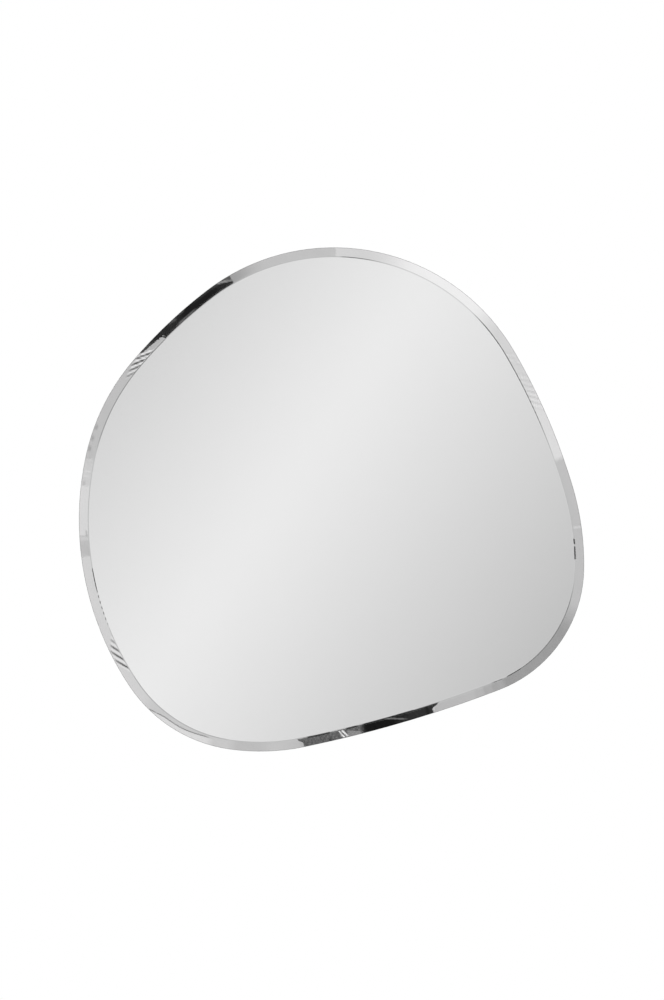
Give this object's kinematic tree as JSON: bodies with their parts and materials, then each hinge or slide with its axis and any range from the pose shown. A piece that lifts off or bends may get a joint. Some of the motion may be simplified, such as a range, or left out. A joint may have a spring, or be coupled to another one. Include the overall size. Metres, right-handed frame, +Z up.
{
  "type": "irregular wall mirror",
  "caption": "Frameless wall mirror with an irregular rounded outline and a wide bevelled edge, on a smaller fibreboard back with D-ring hangers and rubber bumpers.",
  "frame": {"origin": "on the wall plane, where the rubber bumpers rest, at the middle of the outline's width and height", "axes": "+Z up, +Y out of the back into the wall, so the mirror faces -Y; +X to the right as seen from the front"},
  "size_m": [0.7999, 0.0213, 0.798],
  "materials": {
    "mirror_glass": "polished",
    "backing_paint": "matte",
    "fibreboard": "matte",
    "foam_tape": "matte",
    "zinc_plated_strip": "satin",
    "zinc_plated_wire": "polished",
    "screw_steel": "satin",
    "bumper_rubber": "matte"
  },
  "bodies": {
    "mirror": {"mirror_glass": "mirror_glass", "silver_coat": "backing_paint", "backing_board": "fibreboard", "mounting_tape_1": "foam_tape", "mounting_tape_2": "foam_tape", "mounting_tape_3": "foam_tape", "mounting_tape_4": "foam_tape", "mounting_tape_5": "foam_tape", "mounting_tape_6": "foam_tape", "hanger_strap_left": "zinc_plated_strip", "hanger_screw_left_upper": "screw_steel", "hanger_screw_left_lower": "screw_steel", "hanger_strap_right": "zinc_plated_strip", "hanger_screw_right_upper": "screw_steel", "hanger_screw_right_lower": "screw_steel", "bumper_upper_right": "bumper_rubber", "bumper_upper_left": "bumper_rubber", "bumper_lower_left": "bumper_rubber", "bumper_lower_right": "bumper_rubber"},
    "ring_left": {"hanger_ring_left": "zinc_plated_wire"},
    "ring_right": {"hanger_ring_right": "zinc_plated_wire"}
  },
  "joints": [
    {"name": "left_ring_swing", "type": "hinge", "parent": "mirror", "child": "ring_left", "pos_m": [-0.15827, -0.00345, 0.2], "axis": [-1, 0, 0], "range_deg": [0, 179]},
    {"name": "right_ring_swing", "type": "hinge", "parent": "mirror", "child": "ring_right", "pos_m": [0.14173, -0.00345, 0.2], "axis": [-1, 0, 0], "range_deg": [0, 179]}
  ]
}
